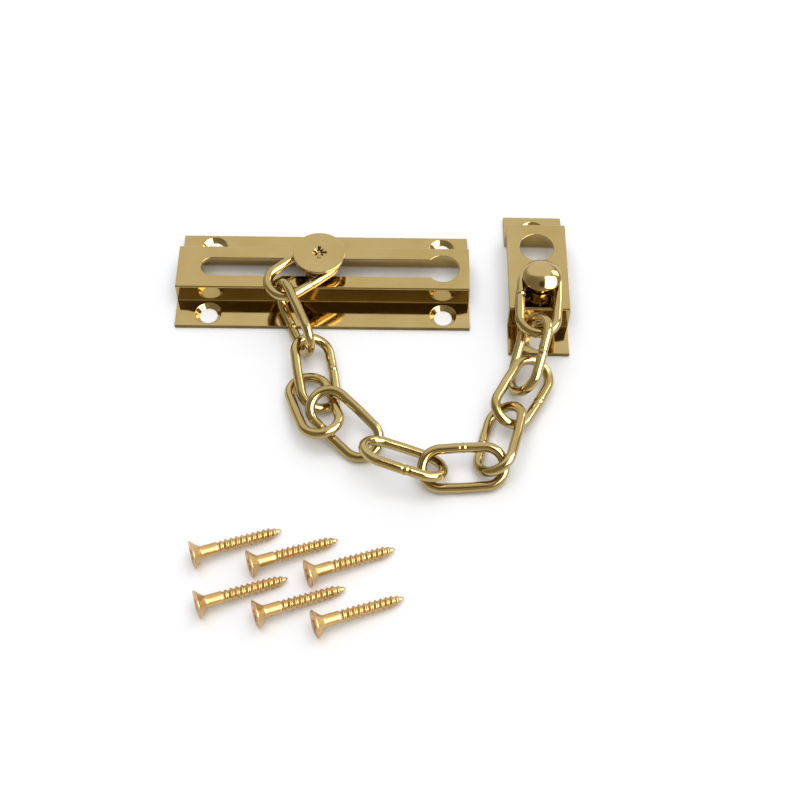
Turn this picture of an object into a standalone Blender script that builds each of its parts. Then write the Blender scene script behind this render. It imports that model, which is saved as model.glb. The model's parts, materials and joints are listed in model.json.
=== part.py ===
"""Door chain guard, laid out loose on a table: slide plate, button, chain, frame plate, knob and six screws.

The plane z = 0 is the table. The origin is under the middle of the whole set, +Y points to the rear of the
table, and the slide plate's slot runs along X. A piece that moves hangs from an empty on its joint's axis.
"""

import math

import bmesh
import bpy
from mathutils import Euler, Vector

MM = 0.001
GAP = 0.3 * MM  # left between pieces that touch

# Both plates are the same brass strip, pressed to a hat section: a raised face between two flanges.
SHEET = 1.2 * MM
BEND_RADIUS = 0.6 * MM
EDGE_RADIUS = 0.12 * MM
PLATE_SCREW_HOLE_RADIUS = 2.35 * MM

# Slide plate
SLIDE_LENGTH = 80 * MM
SLIDE_WIDTH = 32 * MM
SLIDE_FACE = 14.6 * MM
SLIDE_HEIGHT = 7 * MM
SLOT_WIDTH = 6.2 * MM
SLOT_LEFT_END = -33.6 * MM
KEYHOLE_X = 32.7 * MM
KEYHOLE_RADIUS = 4.6 * MM
SLIDE_SCREW_X = (-31.2 * MM, 32.8 * MM)
SLIDE_SCREW_Y = 11.8 * MM

# Frame plate, its face and flanges measured along Y from its middle
FRAME_WIDTH = 16.4 * MM
FRAME_HEIGHT = 8.6 * MM
FRAME_FRONT = -24.3 * MM
FRAME_FACE_FRONT = -15.1 * MM
FRAME_FACE_REAR = 15 * MM
FRAME_REAR = 24.1 * MM
FRAME_SCREW_Y = (-19.7 * MM, 18.95 * MM)
PARKING_HOLE_Y = 6.6 * MM
PARKING_HOLE_RADIUS = 4.7 * MM

# Button, from the top down
NECK_RADIUS = 2.6 * MM
HEAD_RADIUS = 7.05 * MM
HEAD_TOP = 13.25 * MM
HEAD_THICKNESS = 1.1 * MM
COLLAR_RADIUS = 4.4 * MM
COLLAR_THICKNESS = 0.55 * MM
FOOT_RADIUS = 4.3 * MM
FOOT_THICKNESS = 1.5 * MM
SHANK_RADIUS = 1.5 * MM
SHANK_END = 0.4 * MM  # below the foot
BUTTON_RECESS_SPAN = 4.4 * MM
BUTTON_RECESS_DEPTH = 0.7 * MM

# Knob
KNOB_NECK_RADIUS = 2.3 * MM
KNOB_RADIUS = 5.3 * MM
KNOB_RIM = 13.5 * MM
KNOB_RIM_THICKNESS = 0.4 * MM
KNOB_RISE = 2.4 * MM
KNOB_DOME_STEPS = 6
KNOB_TAIL_RADIUS = 1.7 * MM
KNOB_PEEN_RADIUS = 2.6 * MM
KNOB_PEEN_THICKNESS = 0.6 * MM
WASHER_RADIUS = 3.9 * MM
WASHER_THICKNESS = 1.1 * MM

# Chain link
LINK_LENGTH = 23.5 * MM
LINK_WIDTH = 12.5 * MM
LINK_WIRE = 2.7 * MM
LINK_ARC_STEPS = 8

# Wood screw, measured from the face of its head
SCREW_LENGTH = 22.5 * MM
SCREW_HEAD_RADIUS = 3.4 * MM
SCREW_RIM = 0.25 * MM
SCREW_SHANK_RADIUS = 1.5 * MM
SCREW_ROOT_RADIUS = 1.18 * MM
SCREW_THREAD_RADIUS = 1.68 * MM
THREAD_START = 6.2 * MM
THREAD_PITCH = 1.35 * MM
THREAD_TURNS = 9
THREAD_ROOT = 0.3  # where in each pitch the thread is thinnest, and below where it is widest
THREAD_CREST = 0.8
SCREW_RECESS_SPAN = 4.2 * MM
SCREW_RECESS_DEPTH = 1.3 * MM

# A cross recess, as shares of its span: the width of an arm, and the floor against the mouth
RECESS_ARM = 0.22
RECESS_FLOOR = 0.5

# Where the pieces lie. The slide plate's middle, and then the rest measured from there.
SLIDE_PLATE_AT = Vector((-13.5 * MM, 41.7 * MM, 0))
BUTTON_X = -1 * MM
FRAME_PLATE_AT = Vector((58.6 * MM, 0.1 * MM, 0))
FRAME_PLATE_TURN = -0.6
KNOB_AT = Vector((58.8 * MM, -7.6 * MM, 0))

# How the chain lies: each link's middle in mm, then its heading from +X, nose-up dive and lean in degrees.
CHAIN_LAY = (
    (-5.5, -4.0, 10.0, 219, -2, -3),
    (-7.0, -18.0, 7.5, -66, -8, 81),
    (-1.0, -33.5, 4.1, -80, -9, -20),
    (-1.0, -44.0, 4.6, -71, 11, 2),
    (7.0, -49.5, 4.5, -42, -14, 16),
    (22.0, -61.0, 6.5, -13, -12, -29),
    (37.0, -62.0, 4.0, 4, 0, 29),
    (46.5, -53.5, 4.5, 75, -2, -34),
    (52.8, -39.5, 5.1, 61, -1, 22),
    (54.9, -29.5, 7.8, 74, 18, -47),
    (58.0, -14.0, 11.0, 85, 4, 2),
)

# The screws lie in two rows of three, heads to the lower left.
SCREW_COUNT = 6
SCREWS_IN_ROW = 3
FIRST_SCREW_AT = Vector((-28.6 * MM, -86.8 * MM, 0))
SCREW_COLUMN_STEP = Vector((13.9 * MM, -2.4 * MM, 0))
SCREW_ROW_STEP = Vector((2.2 * MM, -13 * MM, 0))
SCREW_HEADING = 21

# (red, green, blue), roughness
PLATE_BRASS = ((0.60, 0.42, 0.17), 0.12)
CHAIN_BRASS = ((0.58, 0.40, 0.15), 0.16)
SCREW_BRASS = ((0.75, 0.46, 0.15), 0.25)


def new_collection(name):
    collection = bpy.data.collections.new(name)
    bpy.context.scene.collection.children.link(collection)
    return collection


def paint(obj, finish):
    """Give the object a metal material of its own."""
    colour, roughness = finish
    material = bpy.data.materials.new(obj.name + "_brass")
    material.use_nodes = True
    shader = material.node_tree.nodes["Principled BSDF"]
    shader.inputs["Base Color"].default_value = (*colour, 1)
    shader.inputs["Metallic"].default_value = 1
    shader.inputs["Roughness"].default_value = roughness
    obj.data.materials.append(material)


def empty_at(name, place, parent):
    """An empty at a place in the world, carried by its parent."""
    empty = bpy.data.objects.new(name, None)
    empty.empty_display_size = 3 * MM
    parts.objects.link(empty)
    empty.parent = parent
    empty.location = Vector(place) - pivot_place(parent)
    return empty


def pivot_place(empty):
    """World place of an empty, adding up its parents' locations."""
    place = Vector((0, 0, 0))
    while empty:
        place += empty.location
        empty = empty.parent
    return place


def hang(obj, pivot, place=(0, 0, 0), turn=(0, 0, 0)):
    """Carry the object on a pivot, at a place in the world and with a turn in degrees."""
    obj.parent = pivot
    obj.location = Vector(place) - pivot_place(pivot)
    obj.rotation_euler = [math.radians(angle) for angle in turn]


def as_mesh(obj):
    """Replace an object by its evaluated mesh, with the loose caps of a curve welded on."""
    bpy.context.view_layer.update()
    evaluated = obj.evaluated_get(bpy.context.evaluated_depsgraph_get())
    mesh = bpy.data.meshes.new_from_object(evaluated)
    name, collection = obj.name, obj.users_collection[0]
    bpy.data.objects.remove(obj)
    weld = bmesh.new()
    weld.from_mesh(mesh)
    bmesh.ops.remove_doubles(weld, verts=weld.verts, dist=0.001 * MM)
    weld.to_mesh(mesh)
    weld.free()
    solid = bpy.data.objects.new(name, mesh)
    collection.objects.link(solid)
    return solid


def shade(obj, angle=35):
    """Shade round surfaces smooth and keep edges sharper than the angle, in degrees."""
    obj.data.shade_smooth()
    obj.data.set_sharp_from_angle(angle=math.radians(angle))


def outline_solid(name, points, depth, collection):
    """A flat closed outline in its own XY plane, made a solid of the given depth along Z."""
    curve = bpy.data.curves.new(name, "CURVE")
    curve.dimensions = "2D"
    curve.fill_mode = "BOTH"
    curve.extrude = depth / 2
    spline = curve.splines.new("POLY")
    spline.points.add(len(points) - 1)
    for point, (x, y) in zip(spline.points, points):
        point.co = (x, y, 0, 1)
    spline.use_cyclic_u = True
    obj = bpy.data.objects.new(name, curve)
    collection.objects.link(obj)
    return as_mesh(obj)


def turned(name, profile, steps, collection, closed=False):
    """Turn a profile of (radius, height) points about Z. It runs down the outer side."""
    mesh = bpy.data.meshes.new(name)
    edges = [(i, i + 1) for i in range(len(profile) - 1)]
    if closed:
        edges.append((len(profile) - 1, 0))
    mesh.from_pydata([(radius, 0, height) for radius, height in profile], edges, [])
    obj = bpy.data.objects.new(name, mesh)
    collection.objects.link(obj)
    screw = obj.modifiers.new("turn", "SCREW")
    screw.steps = steps
    screw.render_steps = steps
    screw.use_merge_vertices = True
    screw.merge_threshold = 0.001 * MM
    solid = as_mesh(obj)
    shade(solid)
    return solid


def cutter(obj):
    """Mark an object as one that only cuts others."""
    obj.hide_render = True
    obj.display_type = "WIRE"
    return obj


def cut(obj, tools):
    """Take the tools out of the object with Boolean modifiers."""
    for tool in tools:
        boolean = obj.modifiers.new("cut " + tool.name, "BOOLEAN")
        boolean.operation = "DIFFERENCE"
        boolean.object = tool


def rounded(corners, steps=3):
    """Replace each (x, y, radius) corner of a closed outline by an arc."""
    points = []
    for i, (x, y, radius) in enumerate(corners):
        here = Vector((x, y))
        before = Vector(corners[i - 1][:2]) - here
        after = Vector(corners[(i + 1) % len(corners)][:2]) - here
        start = here + before.normalized() * radius
        end = here + after.normalized() * radius
        for step in range(steps + 1):
            t = step / steps
            bow = math.sin(t * math.pi / 2), 1 - math.cos(t * math.pi / 2)
            points.append(start + (here - start) * bow[0] + (end - here) * bow[1])
    return points


def hat_section(front, face_front, face_rear, rear, height):
    """Outline of the pressed strip across its bends, from the front flange to the rear one."""
    inner_front = face_front + SHEET
    inner_rear = face_rear - SHEET
    tight = EDGE_RADIUS
    return rounded(
        [
            (front, 0, tight),
            (inner_front, 0, BEND_RADIUS),
            (inner_front, height - SHEET, tight),
            (inner_rear, height - SHEET, tight),
            (inner_rear, 0, BEND_RADIUS),
            (rear, 0, tight),
            (rear, SHEET, tight),
            (face_rear, SHEET, tight),
            (face_rear, height, BEND_RADIUS),
            (face_front, height, BEND_RADIUS),
            (face_front, SHEET, tight),
            (front, SHEET, tight),
        ]
    )


def pressed_plate(name, section, length):
    """The hat section, carried along X for the plate's length."""
    plate = outline_solid(name, section, length, parts)
    plate.data.transform(Euler((math.pi / 2, 0, math.pi / 2)).to_matrix().to_4x4())
    return plate


def round_hole(name, x, y, radius, height, steps=32):
    """A cutter for a plain hole through a raised face."""
    bpy.ops.mesh.primitive_cylinder_add(vertices=steps, radius=radius, depth=4 * SHEET)
    hole = bpy.context.object
    hole.name = name
    keep_in(hole, cutters)
    hole.location = (x, y, height - SHEET / 2)
    return cutter(hole)


def countersink(name, x, y, steps=28):
    """A cutter for a flange's screw hole: one 90 degree cone through the whole sheet."""
    below = 0.2 * MM
    above = 0.3 * MM
    bpy.ops.mesh.primitive_cone_add(
        vertices=steps,
        radius1=PLATE_SCREW_HOLE_RADIUS - below,
        radius2=PLATE_SCREW_HOLE_RADIUS + SHEET + above,
        depth=below + SHEET + above,
    )
    hole = bpy.context.object
    hole.name = name
    keep_in(hole, cutters)
    hole.location = (x, y, (SHEET + above - below) / 2)
    return cutter(hole)


def keep_in(obj, collection):
    for old in obj.users_collection:
        old.objects.unlink(obj)
    collection.objects.link(obj)


def slot_cutter(steps=16):
    """A round-ended slot along X that ends in the middle of the keyhole."""
    radius = SLOT_WIDTH / 2
    centre = SLOT_LEFT_END + radius
    points = [(KEYHOLE_X, -radius), (KEYHOLE_X, radius)]
    for step in range(steps + 1):
        angle = math.radians(90 + 180 * step / steps)
        points.append((centre + radius * math.cos(angle), radius * math.sin(angle)))
    slot = outline_solid("slot", points, 4 * SHEET, cutters)
    slot.location.z = SLIDE_HEIGHT - SHEET / 2
    return cutter(slot)


def cross_cutters(name, span, depth, top):
    """Two crossed blades that cut a cross recess into a face at the height top."""
    corner = span / math.sqrt(2)
    above = 0.05 * MM
    blades = []
    for number, turn in enumerate((0, math.pi / 2)):
        bpy.ops.mesh.primitive_cone_add(
            vertices=4, radius1=RECESS_FLOOR * corner, radius2=corner, depth=depth, end_fill_type="NGON"
        )
        blade = bpy.context.object
        blade.name = f"{name}_blade_{number + 1}"
        blade.data.transform(Euler((0, 0, math.pi / 4)).to_matrix().to_4x4())
        blade.scale = (1, RECESS_ARM, 1)
        blade.rotation_euler.z = turn
        blade.location.z = top + above - depth / 2
        keep_in(blade, cutters)
        blades.append(cutter(blade))
    return blades


def ring_profile(bore, radius, bottom, thickness, edge=0.15 * MM):
    """A washer's section, with a broken outer edge, from the top of its outer side round to its bore."""
    top = bottom + thickness
    return [
        (bore, top),
        (radius - edge, top),
        (radius, top - edge),
        (radius, bottom + edge),
        (radius - edge, bottom),
        (bore, bottom),
    ]


def make_slide_plate():
    half = SLIDE_WIDTH / 2
    section = hat_section(-half, -SLIDE_FACE / 2, SLIDE_FACE / 2, half, SLIDE_HEIGHT)
    plate = pressed_plate("slide_plate", section, SLIDE_LENGTH)
    tools = [slot_cutter(), round_hole("keyhole", KEYHOLE_X, 0, KEYHOLE_RADIUS, SLIDE_HEIGHT)]
    for x in SLIDE_SCREW_X:
        for y in (-SLIDE_SCREW_Y, SLIDE_SCREW_Y):
            tools.append(countersink(f"slide_screw_hole_{len(tools) - 1}", x, y))
    cut(plate, tools)
    return plate


def make_frame_plate():
    section = hat_section(FRAME_FRONT, FRAME_FACE_FRONT, FRAME_FACE_REAR, FRAME_REAR, FRAME_HEIGHT)
    plate = pressed_plate("frame_plate", section, FRAME_WIDTH)
    knob = KNOB_AT - FRAME_PLATE_AT
    knob.rotate(Euler((0, 0, -math.radians(FRAME_PLATE_TURN))))
    tools = [
        round_hole("parking_hole", 0, PARKING_HOLE_Y, PARKING_HOLE_RADIUS, FRAME_HEIGHT),
        round_hole("knob_hole", knob.x, knob.y, KNOB_NECK_RADIUS + GAP, FRAME_HEIGHT, 20),
        countersink("frame_screw_hole_1", 0, FRAME_SCREW_Y[0]),
        countersink("frame_screw_hole_2", 0, FRAME_SCREW_Y[1]),
    ]
    cut(plate, tools)
    return plate, tools


def make_button_head():
    """The disc, the neck that the first link turns on, and the shank that holds the foot."""
    edge = 0.2 * MM
    underside = HEAD_TOP - HEAD_THICKNESS
    shoulder = SLIDE_HEIGHT - SHEET
    foot_bottom = shoulder - GAP - FOOT_THICKNESS
    profile = [
        (0, HEAD_TOP),
        (HEAD_RADIUS - edge, HEAD_TOP),
        (HEAD_RADIUS, HEAD_TOP - edge),
        (HEAD_RADIUS, underside + edge),
        (HEAD_RADIUS - edge, underside),
        (NECK_RADIUS, underside),
        (NECK_RADIUS, shoulder),
        (SHANK_RADIUS, shoulder),
        (SHANK_RADIUS, foot_bottom - SHANK_END),
        (0, foot_bottom - SHANK_END),
    ]
    head = turned("button_head", profile, 40, parts)
    cut(head, cross_cutters("button", BUTTON_RECESS_SPAN, BUTTON_RECESS_DEPTH, HEAD_TOP))
    return head


def make_button_collar():
    profile = ring_profile(NECK_RADIUS + GAP, COLLAR_RADIUS, SLIDE_HEIGHT + GAP, COLLAR_THICKNESS)
    return turned("button_collar", profile, 28, parts, closed=True)


def make_button_foot():
    bottom = SLIDE_HEIGHT - SHEET - GAP - FOOT_THICKNESS
    profile = ring_profile(SHANK_RADIUS + GAP, FOOT_RADIUS, bottom, FOOT_THICKNESS)
    return turned("button_foot", profile, 28, parts, closed=True)


def make_knob():
    """A domed head on a neck, with a tail peened over under its washer."""
    edge = 0.1 * MM
    shoulder = FRAME_HEIGHT - SHEET
    peen_top = shoulder - GAP - WASHER_THICKNESS - GAP
    dome_foot = KNOB_RIM + KNOB_RIM_THICKNESS
    profile = [(0, dome_foot + KNOB_RISE)]
    for step in range(1, KNOB_DOME_STEPS + 1):
        angle = math.radians(90 - 90 * step / KNOB_DOME_STEPS)
        profile.append((KNOB_RADIUS * math.cos(angle), dome_foot + KNOB_RISE * math.sin(angle)))
    profile += [
        (KNOB_RADIUS, KNOB_RIM + edge),
        (KNOB_RADIUS - edge, KNOB_RIM),
        (KNOB_NECK_RADIUS, KNOB_RIM),
        (KNOB_NECK_RADIUS, shoulder),
        (KNOB_TAIL_RADIUS, shoulder),
        (KNOB_TAIL_RADIUS, peen_top),
        (KNOB_PEEN_RADIUS, peen_top),
        (KNOB_PEEN_RADIUS - 4 * edge, peen_top - KNOB_PEEN_THICKNESS + edge),
        (0, peen_top - KNOB_PEEN_THICKNESS),
    ]
    return turned("knob", profile, 32, parts)


def make_knob_washer():
    bottom = FRAME_HEIGHT - SHEET - GAP - WASHER_THICKNESS
    profile = ring_profile(KNOB_TAIL_RADIUS + GAP, WASHER_RADIUS, bottom, WASHER_THICKNESS)
    return turned("knob_washer", profile, 24, parts, closed=True)


def link_reach():
    """From a link's middle to the centre of either end's half circle."""
    return (LINK_LENGTH - LINK_WIDTH) / 2


def make_link(name):
    """A closed wire loop, its long axis along X: two half circles joined by straight sides."""
    radius = (LINK_WIDTH - LINK_WIRE) / 2
    curve = bpy.data.curves.new(name, "CURVE")
    curve.dimensions = "3D"
    curve.bevel_depth = LINK_WIRE / 2
    curve.bevel_resolution = 2
    points = []
    for side in (1, -1):
        for step in range(LINK_ARC_STEPS + 1):
            angle = math.radians(-90 + 180 * step / LINK_ARC_STEPS)
            x = link_reach() + radius * math.cos(angle)
            points.append((side * x, side * radius * math.sin(angle), 0, 1))
    spline = curve.splines.new("POLY")
    spline.points.add(len(points) - 1)
    for point, place in zip(spline.points, points):
        point.co = place
    spline.use_cyclic_u = True
    obj = bpy.data.objects.new(name, curve)
    parts.objects.link(obj)
    return as_mesh(obj)


def screw_profile():
    """Countersunk head, plain shank, ridges for the thread, and the point."""
    cone_end = SCREW_RIM + SCREW_HEAD_RADIUS - SCREW_SHANK_RADIUS
    profile = [
        (0, 0),
        (SCREW_HEAD_RADIUS, 0),
        (SCREW_HEAD_RADIUS, -SCREW_RIM),
        (SCREW_SHANK_RADIUS, -cone_end),
        (SCREW_SHANK_RADIUS, -THREAD_START),
    ]
    for turn in range(THREAD_TURNS):
        depth = THREAD_START + turn * THREAD_PITCH
        profile.append((SCREW_ROOT_RADIUS, -(depth + THREAD_ROOT * THREAD_PITCH)))
        profile.append((SCREW_THREAD_RADIUS, -(depth + THREAD_CREST * THREAD_PITCH)))
    thread_end = THREAD_START + (THREAD_TURNS + THREAD_ROOT) * THREAD_PITCH
    profile.append((SCREW_ROOT_RADIUS, -thread_end))
    profile.append((0, -SCREW_LENGTH))
    return profile


def make_screw(name):
    screw = turned(name, screw_profile(), 14, parts)
    blades = cross_cutters(name, SCREW_RECESS_SPAN, SCREW_RECESS_DEPTH, 0)
    cut(screw, blades)
    screw = as_mesh(screw)
    shade(screw)
    for blade in blades:
        bpy.data.objects.remove(blade)
    return screw


def build_slide_plate():
    root = empty_at("slide_plate_middle", SLIDE_PLATE_AT, None)
    plate = make_slide_plate()
    hang(plate, root, SLIDE_PLATE_AT)
    for tool in list(cutters.objects):
        hang(tool, root, SLIDE_PLATE_AT + tool.location)
    paint(plate, PLATE_BRASS)
    return root


def build_button(root):
    """The collar slides along the slot, and the head and foot turn together inside it."""
    place = SLIDE_PLATE_AT + Vector((BUTTON_X, 0, 0))
    slider = empty_at("button_slider", place, root)
    spinner = empty_at("button_spinner", place, slider)
    done = set(cutters.objects)
    for piece, pivot in (
        (make_button_collar(), slider),
        (make_button_head(), spinner),
        (make_button_foot(), spinner),
    ):
        hang(piece, pivot, place)
        paint(piece, PLATE_BRASS)
    for tool in set(cutters.objects) - done:
        hang(tool, spinner, place + tool.location, (0, 0, math.degrees(tool.rotation_euler.z)))
    return slider


def link_turn(lay):
    """A link's lean, dive and heading as turns about X, Y and Z, in that order."""
    heading, dive, lean = lay[3:]
    return lean, -dive, heading


def arc_centre(lay, side):
    """World centre of a link's end arc: side -1 is the end nearer the button, 1 the other."""
    along = Vector((side * link_reach(), 0, 0))
    along.rotate(Euler([math.radians(angle) for angle in link_turn(lay)]))
    return SLIDE_PLATE_AT + Vector(lay[:3]) * MM + along


def build_chain(slider):
    """Each link turns about an upright axis midway between its end arc and its neighbour's."""
    pivot = slider
    for number, lay in enumerate(CHAIN_LAY, 1):
        if number == 1:
            place = pivot_place(slider)
        else:
            place = (arc_centre(CHAIN_LAY[number - 2], 1) + arc_centre(lay, -1)) / 2
        pivot = empty_at(f"link_{number:02d}_pivot", place, pivot)
        link = make_link(f"link_{number:02d}")
        hang(link, pivot, SLIDE_PLATE_AT + Vector(lay[:3]) * MM, link_turn(lay))
        shade(link)
        paint(link, CHAIN_BRASS)
    return pivot


def build_frame_plate(last_link):
    """The plate and its knob turn together about the knob's neck."""
    pivot = empty_at("knob_pivot", SLIDE_PLATE_AT + KNOB_AT, last_link)
    plate, tools = make_frame_plate()
    middle = SLIDE_PLATE_AT + FRAME_PLATE_AT
    for piece in (plate, *tools):
        place = Vector(piece.location)
        place.rotate(Euler((0, 0, math.radians(FRAME_PLATE_TURN))))
        hang(piece, pivot, middle + place, (0, 0, FRAME_PLATE_TURN))
    paint(plate, PLATE_BRASS)
    for piece in (make_knob(), make_knob_washer()):
        hang(piece, pivot, SLIDE_PLATE_AT + KNOB_AT)
        paint(piece, PLATE_BRASS)


def build_screws(root):
    """Each screw lies on the rim of its head and on its last full thread."""
    clear_of_table = 0.03 * MM
    last_crest = THREAD_START + (THREAD_TURNS - 1 + THREAD_CREST) * THREAD_PITCH
    tilt = math.atan((SCREW_HEAD_RADIUS - SCREW_THREAD_RADIUS) / last_crest)
    height = SCREW_HEAD_RADIUS * math.cos(tilt) + clear_of_table
    for number in range(SCREW_COUNT):
        row, column = divmod(number, SCREWS_IN_ROW)
        place = FIRST_SCREW_AT + column * SCREW_COLUMN_STEP + row * SCREW_ROW_STEP
        place += SLIDE_PLATE_AT + Vector((0, 0, height))
        pivot = empty_at(f"screw_{number + 1}_lift", place, root)
        screw = make_screw(f"screw_{number + 1}")
        hang(screw, pivot, place, (0, math.degrees(tilt) - 90, SCREW_HEADING))
        paint(screw, SCREW_BRASS)


for old in list(bpy.data.objects):
    bpy.data.objects.remove(old)
parts = new_collection("door_chain_guard")
cutters = new_collection("cutters")
slide_root = build_slide_plate()
button_slider = build_button(slide_root)
build_frame_plate(build_chain(button_slider))
build_screws(slide_root)
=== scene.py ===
"""Looks for the door chain guard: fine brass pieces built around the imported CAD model, with its studio.

Every piece takes its place from the CAD node it stands for. Its shape comes from the sizes named here,
in metres. Each piece is built about its own origin and then moved, so its material's grain travels with it.
"""

import json
import math

import bmesh
import bpy
import numpy as np
from mathutils import Euler, Matrix, Quaternion, Vector


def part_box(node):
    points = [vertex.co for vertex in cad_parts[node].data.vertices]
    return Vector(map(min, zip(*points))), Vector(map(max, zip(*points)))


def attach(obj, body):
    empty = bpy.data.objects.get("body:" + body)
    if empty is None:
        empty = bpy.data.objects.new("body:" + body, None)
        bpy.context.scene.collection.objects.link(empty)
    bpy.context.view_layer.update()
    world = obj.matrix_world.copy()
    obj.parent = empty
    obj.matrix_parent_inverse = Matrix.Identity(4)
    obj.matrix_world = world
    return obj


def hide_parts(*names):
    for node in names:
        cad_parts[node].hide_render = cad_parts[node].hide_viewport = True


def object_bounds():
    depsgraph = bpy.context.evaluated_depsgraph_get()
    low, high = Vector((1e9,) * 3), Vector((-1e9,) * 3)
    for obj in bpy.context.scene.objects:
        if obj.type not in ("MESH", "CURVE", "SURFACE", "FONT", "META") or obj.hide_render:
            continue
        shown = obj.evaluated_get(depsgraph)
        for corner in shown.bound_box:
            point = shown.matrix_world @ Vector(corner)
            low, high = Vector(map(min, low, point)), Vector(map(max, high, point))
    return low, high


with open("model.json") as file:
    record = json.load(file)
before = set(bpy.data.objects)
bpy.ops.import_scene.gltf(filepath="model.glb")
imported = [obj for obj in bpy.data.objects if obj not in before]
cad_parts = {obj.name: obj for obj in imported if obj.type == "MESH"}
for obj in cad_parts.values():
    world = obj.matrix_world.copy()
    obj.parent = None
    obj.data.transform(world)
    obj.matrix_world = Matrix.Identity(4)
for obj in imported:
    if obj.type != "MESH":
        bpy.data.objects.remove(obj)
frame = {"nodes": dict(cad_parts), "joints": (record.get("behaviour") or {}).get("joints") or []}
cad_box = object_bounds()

MM = 0.001
WELD_DISTANCE = 0.002 * MM  # points closer than this become one
NO_AREA = 1e-16  # square metres
SHARP_ANGLE = 30  # degrees between two faces, above which their edge counts as sharp

# Camera and studio, placed from the slide plate's middle
CAMERA_AIM = Vector((21.16, -38.98, 0)) * MM
CAMERA_AZIMUTH = -0.95  # degrees from the front, positive to the right
CAMERA_ELEVATION = 55.75
CAMERA_ROLL = 1.38
CAMERA_DISTANCE = 350.68 * MM
CAMERA_LENS = 60.2  # mm, on a sensor 36 mm wide
WORLD_BASE = (0.50, 0.465, 0.365)
# Each patch's azimuth and elevation, the angles from there between which it fades out, and its colour
WORLD_PATCHES = (
    ((-150, 36), 20, 55, (0.33, 0.305, 0.23)),
    ((90, 42), 38, 50, (1.12, 1.14, 1.16)),
    ((-85, 59), 6, 20, (0.105, 0.07, 0.026)),
)
FLOOR_COLOUR = (0.85, 0.865, 0.92, 1)
FLOOR_HALF = 3.0  # half the floor's side, in metres
FLOOR_DROP = 0.05 * MM  # below the part, so that their faces do not coincide

# Pressed plates
SHEET = 1.2 * MM
BEND_RADIUS = 0.5 * MM
FILLET_RADIUS = 0.22 * MM
EDGE_BEVEL = 0.13 * MM
SCREW_HOLE_RADIUS = 2.35 * MM
SLIDE_FACE = 14.6 * MM
SLOT_WIDTH = 6.2 * MM
SLOT_LEFT_INSET = 6.4 * MM
KEYHOLE_INSET = 7.3 * MM
KEYHOLE_RADIUS = 4.6 * MM
SLIDE_HOLE_INSETS = (8.8 * MM, 7.2 * MM)
SLIDE_HOLE_Y = 11.8 * MM
FRAME_WIDTH = 16.4 * MM
FRAME_TURN = -0.6
FRAME_FACE_INSETS = (9.2 * MM, 9.1 * MM)
FRAME_HOLE_INSETS = (4.6 * MM, 5.15 * MM)
PARKING_HOLE_INSET = 17.5 * MM
PARKING_HOLE_RADIUS = 4.7 * MM
KNOB_NECK_RADIUS = 2.3 * MM
BUTTON_CROSS_SPAN = 4.4 * MM
BUTTON_CROSS_DEPTH = 0.7 * MM

# Chain link and its weld
LINK_LENGTH = 23.5 * MM
LINK_WIDTH = 12.5 * MM
LINK_WIRE = 2.7 * MM
LINK_RUB = 0.06 * MM  # taken off the wire, so that neighbours stay clear as they swing
LINK_BOW = 0.1 * MM  # how far a straight side bulges
WELD_RIDGE = 0.08 * MM
WELD_WIDTH = 0.32 * MM
WELD_STEP = 0.05 * MM
# Which straight side each link's weld is on, left (1) or right (-1) of its heading, and how far along, in mm
WELDS = (
    (1, 0.4),
    (-1, 0.0),
    (1, -1.2),
    (1, 0.8),
    (-1, -2.6),
    (-1, 1.0),
    (1, 0.3),
    (1, -1.0),
    (-1, 0.5),
    (-1, 0.0),
    (1, 1.4),
)

# Wood screw, measured from the face of its head
SCREW_FACETS = 48  # round the screw
SCREW_HEAD_RADIUS = 3.4 * MM
SCREW_RIM = 0.25 * MM
SCREW_SHANK_RADIUS = 1.5 * MM
SCREW_ROOT_RADIUS = 1.18 * MM
SCREW_THREAD_RADIUS = 1.68 * MM
SCREW_TAPER = 0.14  # how much slimmer the thread is where the point begins
THREAD_START = 6.2 * MM
THREAD_PITCH = 1.35 * MM
SCREW_TIP = 3.2 * MM  # length of the point's taper
SCREW_CROSS_TURN = 24  # degrees about the screw
SCREW_CROSS_SPAN = 4.3 * MM
SCREW_CROSS_DEPTH = 1.5 * MM

# Each brass's lighter and deeper tone
PLATE_TONES = ((0.48, 0.355, 0.150), (0.44, 0.315, 0.120))
CHAIN_TONES = ((0.49, 0.375, 0.170), (0.42, 0.305, 0.115))
SCREW_TONES = ((0.64, 0.455, 0.225), (0.54, 0.35, 0.13))
# The edges' tones are painted shade: far darker than the plates', so the cut edges read as dark reflections
EDGE_PAINTED_SHADE_TONES = ((0.22, 0.16, 0.05), (0.15, 0.10, 0.03))
# The recess tones are painted reflection: a redder brass for the light bounced inside the screws' recesses
RECESS_PAINTED_REFLECTION_TONES = ((0.86, 0.45, 0.17), (0.72, 0.33, 0.11))


# ---------------------------------------------------------------- mesh tools


def add_object(name, mesh):
    obj = bpy.data.objects.new(name, mesh)
    bpy.context.scene.collection.objects.link(obj)
    return obj


def evaluated_mesh(obj):
    """The object's mesh after its modifiers, as new data."""
    bpy.context.view_layer.update()
    graph = bpy.context.evaluated_depsgraph_get()
    shaped = obj.evaluated_get(graph)
    return bpy.data.meshes.new_from_object(shaped, preserve_all_data_layers=True, depsgraph=graph)


def drop(*objects):
    for obj in objects:
        bpy.data.objects.remove(obj)


def settle(obj):
    """Apply the object's modifiers and keep it as a plain mesh object of the same name."""
    mesh = evaluated_mesh(obj)
    name = obj.name
    drop(obj)
    return add_object(name, mesh)


def smooth(obj, angle=SHARP_ANGLE):
    obj.data.shade_smooth()
    obj.data.set_sharp_from_angle(angle=math.radians(angle))


def flatten_shading(obj):
    """Keep large flat faces looking flat beside the small round ones."""
    obj.modifiers.new("weights", "WEIGHTED_NORMAL").keep_sharp = True
    return settle(obj)


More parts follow.
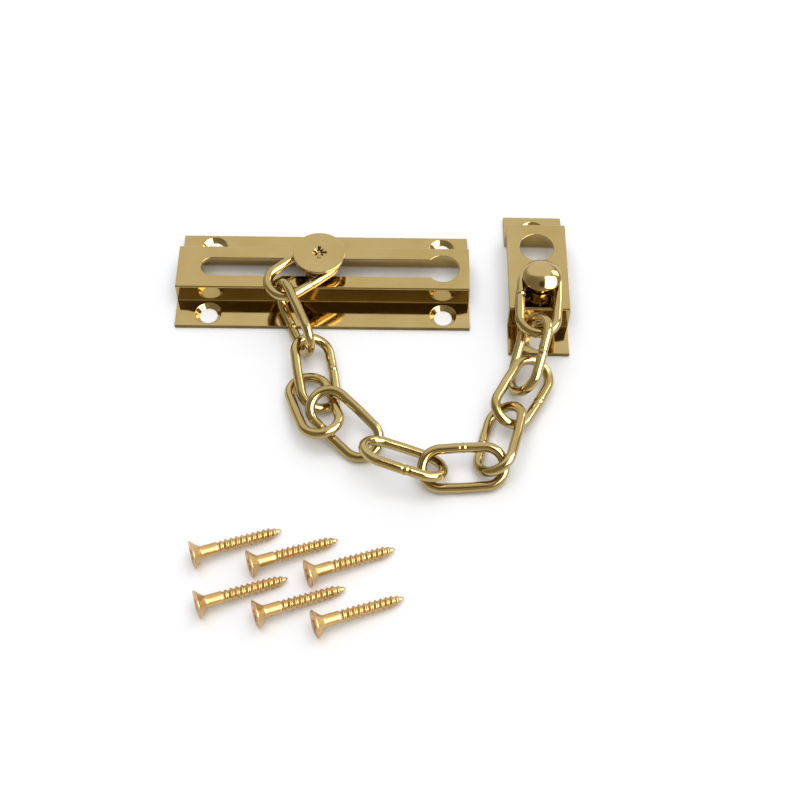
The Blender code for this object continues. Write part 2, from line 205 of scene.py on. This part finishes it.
def grid_mesh(name, rows, close_rows=False):
    """A mesh over closed rings of points, each joined to the next, and the last to the first if asked."""
    across = len(rows[0])
    verts = [point for row in rows for point in row]
    faces = []
    row_count = len(rows) if close_rows else len(rows) - 1
    for i in range(row_count):
        below = i * across
        above = ((i + 1) % len(rows)) * across
        for j in range(across):
            k = (j + 1) % across
            faces.append((below + j, below + k, above + k, above + j))
    mesh = bpy.data.meshes.new(name)
    mesh.from_pydata(verts, [], faces)
    return mesh


def weld_and_orient(mesh):
    """Weld coincident points, such as a profile's ends on its axis, and face everything outward."""
    work = bmesh.new()
    work.from_mesh(mesh)
    bmesh.ops.remove_doubles(work, verts=work.verts, dist=WELD_DISTANCE)
    flat = [face for face in work.faces if face.calc_area() < NO_AREA]
    bmesh.ops.delete(work, geom=flat, context="FACES_ONLY")
    bmesh.ops.recalc_face_normals(work, faces=work.faces)
    work.to_mesh(mesh)
    work.free()
    return mesh


def turned(name, profile, steps=96, closed=False):
    """A profile of (radius, height) points turned about Z."""
    points = profile + profile[:1] if closed else profile
    rows = []
    for radius, height in points:
        row = []
        for step in range(steps):
            angle = 2 * math.pi * step / steps
            row.append((radius * math.cos(angle), radius * math.sin(angle), height))
        rows.append(row)
    return add_object(name, weld_and_orient(grid_mesh(name, rows)))


def arc(centre, radius, start, end, steps):
    """Points of an arc in a plane, with angles in degrees."""
    points = []
    for step in range(steps + 1):
        angle = math.radians(start + (end - start) * step / steps)
        points.append((centre[0] + radius * math.cos(angle), centre[1] + radius * math.sin(angle)))
    return points


def outline_solid(name, points, depth):
    """A flat closed outline in the XY plane, made a solid of the given depth about z = 0."""
    work = bmesh.new()
    verts = [work.verts.new((x, y, -depth / 2)) for x, y in points]
    face = work.faces.new(verts)
    made = bmesh.ops.extrude_face_region(work, geom=[face])
    moved = [item for item in made["geom"] if isinstance(item, bmesh.types.BMVert)]
    bmesh.ops.translate(work, verts=moved, vec=(0, 0, depth))
    bmesh.ops.recalc_face_normals(work, faces=work.faces)
    mesh = bpy.data.meshes.new(name)
    work.to_mesh(mesh)
    work.free()
    return add_object(name, mesh)


def cut(obj, tools, inside=None):
    """Take the tools out of the object and delete them; the inside material goes on the faces they leave."""
    for tool in tools:
        boolean = obj.modifiers.new("cut", "BOOLEAN")
        boolean.operation = "DIFFERENCE"
        boolean.solver = "EXACT"
        boolean.object = tool
        if inside:
            tool.data.materials.append(inside)
            boolean.material_mode = "TRANSFER"
    result = settle(obj)
    drop(*tools)
    return result


def bevel(obj):
    """Round every sharp edge a little, as polishing does."""
    obj.data.shade_smooth()
    work = obj.modifiers.new("edges", "BEVEL")
    work.width = EDGE_BEVEL
    work.segments = 3
    work.limit_method = "ANGLE"
    work.angle_limit = math.radians(SHARP_ANGLE)
    work.use_clamp_overlap = False
    work.harden_normals = True
    return settle(obj)


# ---------------------------------------------------------------- materials


class Nodes:
    """Short calls for building one material's node tree."""

    def __init__(self, material):
        self.tree = material.node_tree
        self.shader = self.tree.nodes["Principled BSDF"]

    def add(self, kind, **inputs):
        node = self.tree.nodes.new(kind)
        for name, value in inputs.items():
            socket = node.inputs[name.replace("_", " ")]
            if isinstance(value, bpy.types.NodeSocket):
                self.tree.links.new(value, socket)
            else:
                socket.default_value = value
        return node

    def link(self, value, socket):
        self.tree.links.new(value, socket)

    def place(self, scale):
        """Object coordinates, stretched by a scale along each axis."""
        coordinates = self.add("ShaderNodeTexCoord")
        return self.add("ShaderNodeMapping", Vector=coordinates.outputs["Object"], Scale=scale).outputs[0]

    def noise(self, scale, detail, where=(1, 1, 1)):
        node = self.add("ShaderNodeTexNoise", Vector=self.place(where), Scale=scale, Detail=detail)
        return node.outputs["Fac"]

    def ramp(self, value, low, high, to_low=0.0, to_high=1.0):
        node = self.add("ShaderNodeMapRange", Value=value)
        node.inputs["From Min"].default_value = low
        node.inputs["From Max"].default_value = high
        node.inputs["To Min"].default_value = to_low
        node.inputs["To Max"].default_value = to_high
        return node.outputs[0]

    def mix(self, factor, first, second):
        """A colour between two others; the node's colour sockets are inputs 6 and 7 and output 2."""
        node = self.tree.nodes.new("ShaderNodeMix")
        node.data_type = "RGBA"
        for socket, value in ((node.inputs[0], factor), (node.inputs[6], first), (node.inputs[7], second)):
            if isinstance(value, bpy.types.NodeSocket):
                self.tree.links.new(value, socket)
            elif isinstance(value, tuple):
                socket.default_value = (*value, 1)
            else:
                socket.default_value = value
        return node.outputs[2]

    def bump(self, height, distance, normal=None):
        node = self.add("ShaderNodeBump", Height=height, Distance=distance, Strength=1.0)
        if normal:
            self.link(normal, node.inputs["Normal"])
        return node.outputs[0]


def brass(name, tones, roughness, grain, grain_depth, smudge=0.5, ripple=0.0):
    """Polished brass: grain left by the wheel, a slow tone shift, and faint smudges in the gloss.

    tones are its lighter and deeper colour. grain is the noise's scale along each axis, and grain_depth its
    depth. smudge is how much duller the gloss gets in places, and ripple the depth of a slow unevenness.
    """
    light, deep = tones
    material = bpy.data.materials.new(name)
    material.use_nodes = True
    nodes = Nodes(material)
    shader = nodes.shader
    shader.inputs["Metallic"].default_value = 1.0
    tone = nodes.ramp(nodes.noise(90.0, detail=2.0), 0.35, 0.65)
    lines = nodes.noise(1.0, detail=4.0, where=grain)
    colour = nodes.mix(tone, light, deep)
    streak = nodes.ramp(lines, 0.35, 0.7, 0.0, 0.35)
    nodes.link(nodes.mix(streak, colour, deep), shader.inputs["Base Color"])
    haze = nodes.ramp(nodes.noise(160.0, detail=5.0), 0.4, 0.7, roughness, roughness * (1 + smudge))
    nodes.link(haze, shader.inputs["Roughness"])
    normal = nodes.bump(lines, grain_depth)
    if ripple:
        normal = nodes.bump(nodes.noise(260.0, detail=1.0), ripple, normal=normal)
    nodes.link(normal, shader.inputs["Normal"])
    return material


def plate_brass():
    """The plates' faces, with grain along the strip."""
    grain = (60.0, 2600.0, 2600.0)
    return brass("plate_brass", PLATE_TONES, 0.075, grain, 0.0012 * MM)


def turned_brass():
    """The button and the knob, turned on a lathe."""
    grain = (900.0, 900.0, 900.0)
    return brass("turned_brass", PLATE_TONES, 0.09, grain, 0.0015 * MM)


def chain_brass():
    grain = (500.0, 500.0, 500.0)
    return brass("chain_brass", CHAIN_TONES, 0.10, grain, 0.0015 * MM, smudge=0.6, ripple=0.012 * MM)


def screw_brass():
    grain = (1500.0, 1500.0, 1500.0)
    return brass("screw_brass", SCREW_TONES, 0.3, grain, 0.004 * MM, smudge=0.4, ripple=0.01 * MM)


def sheared_brass_painted_shade():
    """The sheet's cut edges: rougher than its faces, and painted much darker as shade, standing in for the
    dark reflection they show.
    """
    grain = (700.0, 700.0, 3000.0)
    return brass("sheared_brass_painted_shade", EDGE_PAINTED_SHADE_TONES, 0.3, grain, 0.004 * MM)


def recess_brass_painted_reflection():
    """Inside the screws' cross recesses and dots: painted reflection, a redder brass standing in for the
    light the metal bounces onto itself there.
    """
    grain = (1500.0, 1500.0, 1500.0)
    return brass("recess_brass_painted_reflection", RECESS_PAINTED_REFLECTION_TONES, 0.38, grain, 0.006 * MM)


# ---------------------------------------------------------------- placing


def middle_of(node):
    low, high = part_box(node)
    return (low + high) / 2


def own_points(node):
    """A CAD node's own points, each place once."""
    points = np.array([v.co for v in frame["nodes"][node].data.vertices])
    return np.unique(np.round(points, 7), axis=0)


def joint_to(body):
    """Where the joint that carries a body stands."""
    for joint in frame["joints"]:
        if joint["child"] == body:
            return Vector(joint["pos_m"])


def link_place(number, last):
    """A link's middle and axes: X along it towards the next link, Z its upward normal."""
    points = own_points(f"link_{number:02d}")
    middle = points.mean(0)
    axes = np.linalg.svd(points - middle, full_matrices=False)[2]
    along, normal = Vector(axes[0]), Vector(axes[2])
    following = "frame_plate" if number == last else f"link_{number + 1:02d}"
    if along.dot(joint_to(following) - joint_to(f"link_{number:02d}")) < 0:
        along.negate()
    if normal.z < 0:
        normal.negate()
    across = normal.cross(along)
    turn = Matrix((along, across, normal)).transposed().to_4x4()
    return Matrix.Translation(Vector(middle)) @ turn


def screw_place(number):
    """A screw's head face and axes: Z out of the face, X level."""
    points = own_points(f"screw_{number}")
    middle = points.mean(0)
    axis = np.linalg.svd(points - middle, full_matrices=False)[2][0]
    along = (points - middle) @ axis
    tip = points[along.argmax()]
    if (along > along.max() - 0.05 * MM).sum() > 1:  # that end has a rim of points, so it is the head
        tip = points[along.argmin()]
    reach = np.linalg.norm(points - tip, axis=1)
    rim = points[reach > reach.max() - 0.1 * MM]
    face = rim.mean(0)
    out = Vector(face - tip).normalized()
    level = Vector((0, 0, 1)).cross(out).normalized()
    turn = Matrix((level, out.cross(level), out)).transposed().to_4x4()
    return Matrix.Translation(Vector(face)) @ turn, Vector(face - tip).length


def finish_piece(obj, body, nodes, slot, *materials):
    """Give a piece its materials and its body, and hide the CAD nodes that it stands for; the slot argument
    is not used.
    """
    for material in materials:
        if material.name not in obj.data.materials:
            obj.data.materials.append(material)
    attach(obj, body)
    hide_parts(*nodes)


# ---------------------------------------------------------------- plates


def hat_section(front, face_front, face_rear, rear, height):
    """Outline of the pressed strip across its bends, with arcs at its corners."""
    outer, inner = BEND_RADIUS, FILLET_RADIUS
    outer_steps, inner_steps = 8, 5
    top_inside = height - SHEET
    points = [(front, 0)]
    points += arc((face_front + SHEET - outer, outer), outer, -90, 0, outer_steps)
    points += arc((face_front + SHEET + inner, top_inside - inner), inner, 180, 90, inner_steps)
    points += arc((face_rear - SHEET - inner, top_inside - inner), inner, 90, 0, inner_steps)
    points += arc((face_rear - SHEET + outer, outer), outer, 180, 270, outer_steps)
    points += [(rear, 0), (rear, SHEET)]
    points += arc((face_rear + inner, SHEET + inner), inner, 270, 180, inner_steps)
    points += arc((face_rear - outer, height - outer), outer, 0, 90, outer_steps)
    points += arc((face_front + outer, height - outer), outer, 90, 180, outer_steps)
    points += arc((face_front - inner, SHEET + inner), inner, 0, -90, inner_steps)
    points.append((front, SHEET))
    return points


def pressed_plate(name, section, length):
    """The strip's outline, stood up so that it runs along Y and is drawn out along X."""
    plate = outline_solid(name, section, length)
    plate.data.transform(Euler((math.pi / 2, 0, math.pi / 2)).to_matrix().to_4x4())
    return plate


def mark_edges(plate, length, width):
    """Give the strip's cut ends and long edges the second material, whose dark colour is painted shade."""
    near = 0.05 * MM
    for face in plate.data.polygons:
        ends = abs(face.normal.x) > 0.9 and abs(face.center.x) > length / 2 - near
        sides = abs(face.normal.y) > 0.9 and abs(face.center.y) > width / 2 - near
        if ends or sides:
            face.material_index = 1


def round_cutter(x, y, radius, height, steps=96):
    tool = outline_solid("hole", arc((0, 0), radius, 0, 360, steps)[:-1], 4 * SHEET)
    tool.location = (x, y, height - SHEET / 2)
    return tool


def countersink_cutter(x, y):
    """One 90 degree cone through a flange."""
    below, above = 0.2 * MM, 0.3 * MM
    profile = [
        (0, -below),
        (SCREW_HOLE_RADIUS - below, -below),
        (SCREW_HOLE_RADIUS + SHEET + above, SHEET + above),
        (0, SHEET + above),
    ]
    tool = turned("countersink", profile)
    tool.location = (x, y, 0)
    return tool


def slot_cutter(left, right, height):
    radius = SLOT_WIDTH / 2
    points = [(right, -radius), (right, radius)] + arc((left + radius, 0), radius, 90, 270, 48)
    tool = outline_solid("slot", points, 4 * SHEET)
    tool.location.z = height - SHEET / 2
    return tool


def make_slide_plate(*materials):
    low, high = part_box("slide_plate")
    half_length = (high.x - low.x) / 2
    half_width = (high.y - low.y) / 2
    height = high.z - low.z
    section = hat_section(-half_width, -SLIDE_FACE / 2, SLIDE_FACE / 2, half_width, height)
    plate = pressed_plate("slide_plate_fine", section, 2 * half_length)
    keyhole = half_length - KEYHOLE_INSET
    tools = [
        slot_cutter(SLOT_LEFT_INSET - half_length, keyhole, height),
        round_cutter(keyhole, 0, KEYHOLE_RADIUS, height),
    ]
    for x in (SLIDE_HOLE_INSETS[0] - half_length, half_length - SLIDE_HOLE_INSETS[1]):
        for y in (-SLIDE_HOLE_Y, SLIDE_HOLE_Y):
            tools.append(countersink_cutter(x, y))
    plate = bevel(cut(plate, tools))
    finish_piece(plate, "slide_plate", ["slide_plate"], "plate_brass", *materials)
    mark_edges(plate, 2 * half_length, 2 * half_width)
    plate.location = (low + high) / 2
    plate.location.z = low.z


def make_frame_plate(*materials):
    low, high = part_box("frame_plate")
    turn = math.radians(FRAME_TURN)
    length = ((high.y - low.y) - FRAME_WIDTH * abs(math.sin(turn))) / math.cos(turn)
    height = high.z - low.z
    half = length / 2
    front, rear = FRAME_FACE_INSETS
    section = hat_section(-half, front - half, half - rear, half, height)
    plate = pressed_plate("frame_plate_fine", section, FRAME_WIDTH)
    middle = (low + high) / 2
    knob = middle_of("knob") - middle
    knob.z = 0
    knob.rotate(Euler((0, 0, -turn)))
    tools = [
        round_cutter(0, half - PARKING_HOLE_INSET, PARKING_HOLE_RADIUS, height),
        round_cutter(knob.x, knob.y, KNOB_NECK_RADIUS + 0.25 * MM, height, 48),
        countersink_cutter(0, FRAME_HOLE_INSETS[0] - half),
        countersink_cutter(0, half - FRAME_HOLE_INSETS[1]),
    ]
    plate = bevel(cut(plate, tools))
    finish_piece(plate, "frame_plate", ["frame_plate"], "plate_brass", *materials)
    mark_edges(plate, FRAME_WIDTH, length)
    plate.rotation_euler.z = turn
    plate.location = (middle.x, middle.y, low.z)


# ---------------------------------------------------------------- button and knob


def star_cutter(span, depth, top, wings):
    """A cutter for a cross recess that narrows downward; wings are short arms between the long ones."""
    arms = 8 if wings else 4
    outline = []
    for arm in range(arms):
        turn = 2 * math.pi * arm / arms
        short = wings and arm % 2
        reach = span * (0.38 if short else 0.5)
        half = span * (0.045 if short else 0.115)
        for side in (-half, half):
            x = reach * math.cos(turn) - side * math.sin(turn)
            y = reach * math.sin(turn) + side * math.cos(turn)
            outline.append((x, y))
        valley = turn + math.pi / arms
        outline.append((0.2 * span * math.cos(valley), 0.2 * span * math.sin(valley)))
    rows = []
    for z, scale in ((top - depth, 0.5), (top + 0.1 * MM, 1.05)):
        rows.append([(x * scale, y * scale, z) for x, y in outline])
    work = bmesh.new()
    work.from_mesh(grid_mesh("star", rows))
    bmesh.ops.holes_fill(work, edges=work.edges)
    bmesh.ops.triangulate(work, faces=[face for face in work.faces if len(face.verts) > 4])
    bmesh.ops.recalc_face_normals(work, faces=work.faces)
    mesh = bpy.data.meshes.new("star")
    work.to_mesh(mesh)
    work.free()
    return add_object("star", mesh)


def washer_profile(bore, radius, low, high, edge):
    """A ring's section with rounded outer edges."""
    profile = [(bore, high)]
    profile += arc((radius - edge, high - edge), edge, 90, 0, 5)
    profile += arc((radius - edge, low + edge), edge, 0, -90, 5)
    return profile + [(bore, low)]


def axis_of(node):
    """Where an upright turned piece's axis meets the table."""
    middle = middle_of(node)
    middle.z = 0
    return middle


def make_washer(node, body, centre, bore, edge, material):
    """A plain ring as wide and as thick as its CAD node."""
    low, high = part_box(node)
    profile = washer_profile(bore, (high.x - low.x) / 2, low.z, high.z, edge)
    ring = turned(node + "_fine", profile, closed=True)
    smooth(ring)
    ring.location = centre
    finish_piece(ring, body, [node], "plate_brass", material)


def make_button(material):
    """The button's disc with its neck and shank, its collar, and its foot under the slot."""
    low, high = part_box("button_head")
    centre = axis_of("button_head")
    radius = (high.x - low.x) / 2
    top, rim = high.z, 1.1 * MM
    neck, shank = 2.6 * MM, 1.5 * MM
    play = 0.3 * MM
    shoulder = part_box("button_foot")[1].z + play
    edge, fillet = 0.28 * MM, 0.3 * MM
    profile = [(0, top)] + arc((radius - edge, top - edge), edge, 90, 0, 6)
    profile += arc((radius - edge, top - rim + edge), edge, 0, -90, 4)
    profile += arc((neck + fillet, top - rim - fillet), fillet, 90, 180, 4)
    profile += [(neck, shoulder), (shank, shoulder), (shank, low.z), (0, low.z)]
    head = turned("button_head_fine", profile, 160)
    head = cut(head, [star_cutter(BUTTON_CROSS_SPAN, BUTTON_CROSS_DEPTH, top, True)])
    smooth(head)
    head = flatten_shading(head)
    head.location = centre
    finish_piece(head, "button", ["button_head"], "plate_brass", material)
    make_washer("button_collar", "collar", centre, neck + play, 0.18 * MM, material)
    make_washer("button_foot", "button", centre, shank + play, 0.18 * MM, material)


def make_knob(material):
    """The domed head with its rim, on a neck that is peened under a washer."""
    low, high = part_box("knob")
    centre = axis_of("knob")
    radius = (high.x - low.x) / 2
    rise, rim = 2.4 * MM, 0.4 * MM
    foot = high.z - rise
    bottom = foot - rim
    tail, peen = 1.7 * MM, 2.6 * MM
    play = 0.3 * MM
    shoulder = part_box("knob_washer")[1].z + play
    peen_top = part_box("knob_washer")[0].z - play
    profile = [(0, high.z)]
    dome_radius = (radius * radius + rise * rise) / (2 * rise)
    widest = math.degrees(math.asin((radius - 0.12 * MM) / dome_radius))
    steps = 20
    for step in range(1, steps + 1):
        angle = math.radians(widest * step / steps)
        profile.append((dome_radius * math.sin(angle), high.z - dome_radius * (1 - math.cos(angle))))
    edge, fillet, peen_edge = 0.14 * MM, 0.35 * MM, 0.3 * MM
    profile += arc((radius - edge, foot - edge + 0.05 * MM), edge, 45, 0, 3)
    profile += arc((radius - edge, bottom + edge), edge, 0, -90, 4)
    profile += arc((KNOB_NECK_RADIUS + fillet, bottom - fillet), fillet, 90, 180, 5)
    profile += [(KNOB_NECK_RADIUS, shoulder), (tail, shoulder), (tail, peen_top), (peen, peen_top)]
    profile += arc((peen - peen_edge, peen_top - peen_edge), peen_edge, 0, -80, 4)
    profile.append((0, low.z))
    knob = turned("knob_fine", profile, 128)
    smooth(knob)
    knob.location = centre
    finish_piece(knob, "frame_plate", ["knob"], "plate_brass", material)
    make_washer("knob_washer", "frame_plate", centre, tail + play, 0.2 * MM, material)


# ---------------------------------------------------------------- chain


def link_path(spacing=0.14 * MM):
    """Points round a link's wire, each with its outward direction: two half circles and two straight sides.

    A point on a straight side also tells that side, 1 or -1, and its distance along it.
    """
    radius = (LINK_WIDTH - LINK_WIRE) / 2
    reach = (LINK_LENGTH - LINK_WIDTH) / 2
    path = []
    arc_steps = 44
    side_steps = int(2 * reach / spacing)
    for side in (1, -1):
        for step in range(arc_steps):
            angle = math.radians(-90 + 180 * step / arc_steps)
            place = Vector((side * (reach + radius * math.cos(angle)), side * radius * math.sin(angle), 0))
            out = Vector((side * math.cos(angle), side * math.sin(angle), 0))
            path.append((place, out, None))
        for step in range(side_steps):
            along = reach - 2 * reach * step / side_steps
            bow = LINK_BOW * math.cos(math.pi * along / (2 * reach)) ** 2
            place = Vector((side * along, side * (radius + bow), 0))
            path.append((place, Vector((0, side, 0)), (side, side * along)))
    return path


def bell(distance, width):
    """1 at no distance, fading to 0 over a few widths."""
    return math.exp(-((distance / width) ** 2))


def weld_swell(distance):
    """How much thicker the wire is near its weld: a ridge with a shallow groove on each side."""
    groove = 0.6 * WELD_RIDGE
    away = 2.2 * WELD_WIDTH
    swell = WELD_RIDGE * bell(distance, WELD_WIDTH)
    swell -= groove * bell(distance - away, WELD_WIDTH)
    swell -= groove * bell(distance + away, WELD_WIDTH)
    return swell


def weld_shift(distance):
    """How far the wire's two ends miss each other at the weld."""
    return WELD_STEP * math.tanh(distance / (0.5 * WELD_WIDTH)) * bell(distance, 3 * MM)


def make_link(number, last, material):
    """A link of round wire, with the small ridge and step of its butt weld on one side."""
    side, offset = WELDS[number - 1]
    rows = []
    round_steps = 28
    for place, out, straight in link_path():
        swell = 0.0
        if straight and straight[0] == side:
            distance = straight[1] - offset * MM
            swell = weld_swell(distance)
            place = place + Vector((0, 0, weld_shift(distance)))
        radius = LINK_WIRE / 2 - LINK_RUB + swell
        row = []
        for step in range(round_steps):
            angle = 2 * math.pi * step / round_steps
            row.append(place + radius * (math.cos(angle) * out + math.sin(angle) * Vector((0, 0, 1))))
        rows.append(row)
    mesh = weld_and_orient(grid_mesh(f"link_{number:02d}_fine", rows, close_rows=True))
    mesh.shade_smooth()
    link = add_object(f"link_{number:02d}_fine", mesh)
    link.matrix_world = link_place(number, last)
    finish_piece(link, f"link_{number:02d}", [f"link_{number:02d}"], "chain_brass", material)


# ---------------------------------------------------------------- screws


def thread_radius(depth, angle, length):
    """The shaft's radius at a depth below the head's face, with the thread's ridge wound round it."""
    if depth < THREAD_START:
        return SCREW_SHANK_RADIUS
    along = (depth - THREAD_START) / (length - SCREW_TIP - THREAD_START)
    slim = 1 - SCREW_TAPER * min(1.0, along)
    tip = max(0.0, min(1.0, (length - depth) / SCREW_TIP))
    root = slim * SCREW_ROOT_RADIUS * math.sqrt(tip)
    turn = (depth - THREAD_START) / THREAD_PITCH - angle / (2 * math.pi)
    phase = abs((turn % 1.0) - 0.5) * 2
    ridge = (0.5 + 0.5 * math.cos(math.pi * phase)) ** 1.3
    height = slim * (SCREW_THREAD_RADIUS - SCREW_ROOT_RADIUS) * (0.25 + 0.75 * tip) * min(1.0, 3 * tip)
    run_in = min(1.0, (depth - THREAD_START) / (1.6 * THREAD_PITCH))
    plain = SCREW_SHANK_RADIUS * (1 - run_in)
    return max(plain, root + height * ridge * (0.5 + 0.5 * run_in), 0.02 * MM)


def screw_head_profile():
    """Radii and depths from the face's middle over the rim and down the hollow-sided cone to the shank."""
    profile = [
        (0.0, 0.0),
        (0.5 * SCREW_HEAD_RADIUS, 0.0),
        (SCREW_HEAD_RADIUS - 0.08 * MM, 0.0),
        (SCREW_HEAD_RADIUS, 0.06 * MM),
        (SCREW_HEAD_RADIUS, SCREW_RIM),
        (SCREW_HEAD_RADIUS - 0.07 * MM, SCREW_RIM + 0.05 * MM),
    ]
    cone = SCREW_HEAD_RADIUS - SCREW_SHANK_RADIUS
    steps = 12
    for step in range(1, steps + 1):
        share = step / steps
        radius = SCREW_HEAD_RADIUS - cone * (1 - (1 - share) ** 1.25)
        profile.append((radius, SCREW_RIM + cone * 1.12 * share))
    return profile


def screw_mesh(length, metal, inside):
    """One fine wood screw, its face at the origin and its point down Z, with a cross recess and a dot."""
    profile = screw_head_profile()
    angles = [2 * math.pi * step / SCREW_FACETS for step in range(SCREW_FACETS)]
    rows = []
    for radius, depth in profile:
        rows.append([(radius * math.cos(angle), radius * math.sin(angle), -depth) for angle in angles])
    depth = profile[-1][1] + 0.3 * MM
    while depth < length - 0.02 * MM:
        row = []
        for angle in angles:
            radius = thread_radius(depth, angle, length)
            row.append((radius * math.cos(angle), radius * math.sin(angle), -depth))
        rows.append(row)
        depth += (0.5 if depth < THREAD_START - 0.5 * MM else 0.1) * MM
    rows.append([(0, 0, -length)] * SCREW_FACETS)
    screw = add_object("screw_fine", weld_and_orient(grid_mesh("screw_fine", rows)))
    screw.data.materials.append(metal)
    cross = star_cutter(SCREW_CROSS_SPAN, SCREW_CROSS_DEPTH, 0, False)
    dot = turned("dot", [(0, 0.1 * MM), (0.24 * MM, 0.1 * MM), (0.2 * MM, -0.3 * MM), (0, -0.35 * MM)], 12)
    dot.location = Vector((1, 1, 0)) * 1.5 * MM
    screw = cut(screw, [cross, dot], inside)
    smooth(screw, 40)
    mesh = screw.data.copy()
    drop(screw)
    return mesh


def make_screws(metal, inside):
    mesh = None
    number = 1
    while f"screw_{number}" in frame["nodes"]:
        place, length = screw_place(number)
        if mesh is None:
            mesh = screw_mesh(length, metal, inside)
        screw = add_object(f"screw_{number}_fine", mesh.copy())
        screw.matrix_world = place @ Matrix.Rotation(math.radians(SCREW_CROSS_TURN), 4, "Z")
        finish_piece(screw, f"screw_{number}", [f"screw_{number}"], "screw_brass", metal, inside)
        number += 1


# ---------------------------------------------------------------- studio


def direction(azimuth, elevation):
    """A unit vector: azimuth in degrees from +X towards +Y, elevation above the table."""
    turn, tilt = math.radians(azimuth), math.radians(elevation)
    return Vector((math.cos(tilt) * math.cos(turn), math.cos(tilt) * math.sin(turn), math.sin(tilt)))


def face_back_along(obj, back, roll):
    """Point the object's -Z axis against a direction, then roll it about that axis by some degrees."""
    obj.rotation_mode = "QUATERNION"
    obj.rotation_quaternion = back.to_track_quat("Z", "Y") @ Quaternion((0, 0, 1), math.radians(roll))


def make_camera(aim):
    data = bpy.data.cameras.new("camera")
    data.sensor_width = 36
    data.lens = CAMERA_LENS
    data.clip_start = 0.01
    camera = add_object("camera", data)
    back = direction(CAMERA_AZIMUTH - 90, CAMERA_ELEVATION)
    camera.location = aim + back * CAMERA_DISTANCE
    face_back_along(camera, back, CAMERA_ROLL)
    bpy.context.scene.camera = camera


def soft_box(name, aim, out, distance, size, radiance):
    """An area light out from the aim and facing it, as bright to look at however far or large it is."""
    data = bpy.data.lights.new(name, "AREA")
    data.shape = "RECTANGLE"
    width, height = size
    data.size = width
    data.size_y = height
    data.energy = radiance * math.pi * width * height
    light = add_object(name, data)
    light.location = aim + out * distance
    light.rotation_euler = out.to_track_quat("Z", "Y").to_euler()
    return light


def world_patch(tree, towards, inner, outer):
    """1 inside a cone about a direction, falling to 0 at its outer angle."""
    coordinates = tree.nodes.new("ShaderNodeTexCoord")
    dot = tree.nodes.new("ShaderNodeVectorMath")
    dot.operation = "DOT_PRODUCT"
    tree.links.new(coordinates.outputs["Generated"], dot.inputs[0])
    dot.inputs[1].default_value = towards
    fade = tree.nodes.new("ShaderNodeMapRange")
    fade.interpolation_type = "SMOOTHSTEP"
    tree.links.new(dot.outputs["Value"], fade.inputs["Value"])
    fade.inputs["From Min"].default_value = math.cos(math.radians(outer))
    fade.inputs["From Max"].default_value = math.cos(math.radians(inner))
    return fade.outputs[0]


def make_world():
    """A light tent: warm grey all round, paler to the rear, dimmer at the left and dark about the camera."""
    world = bpy.data.worlds.new("studio")
    world.use_nodes = True
    tree = world.node_tree
    background = tree.nodes["Background"]
    socket = None
    for towards, inner, outer, colour in WORLD_PATCHES:
        mix = tree.nodes.new("ShaderNodeMix")
        mix.data_type = "RGBA"
        patch = world_patch(tree, direction(*towards), inner, outer)
        tree.links.new(patch, mix.inputs[0])
        if socket:
            tree.links.new(socket, mix.inputs[6])
        else:
            mix.inputs[6].default_value = (*WORLD_BASE, 1)
        mix.inputs[7].default_value = (*colour, 1)
        socket = mix.outputs[2]
    tree.links.new(socket, background.inputs["Color"])
    bpy.context.scene.world = world


def make_floor(aim):
    """A pale table top just under the part."""
    mesh = bpy.data.meshes.new("floor")
    half = FLOOR_HALF
    corners = [(-half, -half, 0), (half, -half, 0), (half, half, 0), (-half, half, 0)]
    mesh.from_pydata(corners, [], [(0, 1, 2, 3)])
    floor = add_object("floor", mesh)
    floor.location = (aim.x, aim.y, cad_box[0][2] - FLOOR_DROP)
    material = bpy.data.materials.new("floor")
    material.use_nodes = True
    shader = material.node_tree.nodes["Principled BSDF"]
    shader.inputs["Base Color"].default_value = FLOOR_COLOUR
    shader.inputs["Roughness"].default_value = 0.8
    shader.inputs["Specular IOR Level"].default_value = 0.1
    mesh.materials.append(material)


def make_studio():
    aim = axis_of("slide_plate") + CAMERA_AIM
    make_camera(aim)
    make_world()
    make_floor(aim)
    # Two soft boxes are there for the metal to reflect, and leave the table alone
    key = soft_box("key", aim, direction(-19, 43), 0.8, (0.78, 0.78), radiance=7.5)
    face_back_along(key, direction(-18, 44), 27)
    key.visible_diffuse = False
    strip = soft_box("strip", aim, direction(36, 22), 1.0, (0.26, 0.45), radiance=4.0)
    strip.visible_diffuse = False
    # One overhead lights the table, and is hidden from the metal
    tent = soft_box("tent", aim, direction(-90, 84), 1.3, (1.4, 1.4), radiance=2.17)
    tent.visible_glossy = False
    bpy.context.scene.view_settings.view_transform = "Standard"


# ---------------------------------------------------------------- build

make_studio()
plate_metal = plate_brass()
turned_metal = turned_brass()
chain_metal = chain_brass()
edge_shade_metal = sheared_brass_painted_shade()
make_slide_plate(plate_metal, edge_shade_metal)
make_frame_plate(plate_metal, edge_shade_metal)
make_button(turned_metal)
make_knob(turned_metal)
for link_number in range(1, len(WELDS) + 1):
    make_link(link_number, len(WELDS), chain_metal)
make_screws(screw_brass(), recess_brass_painted_reflection())
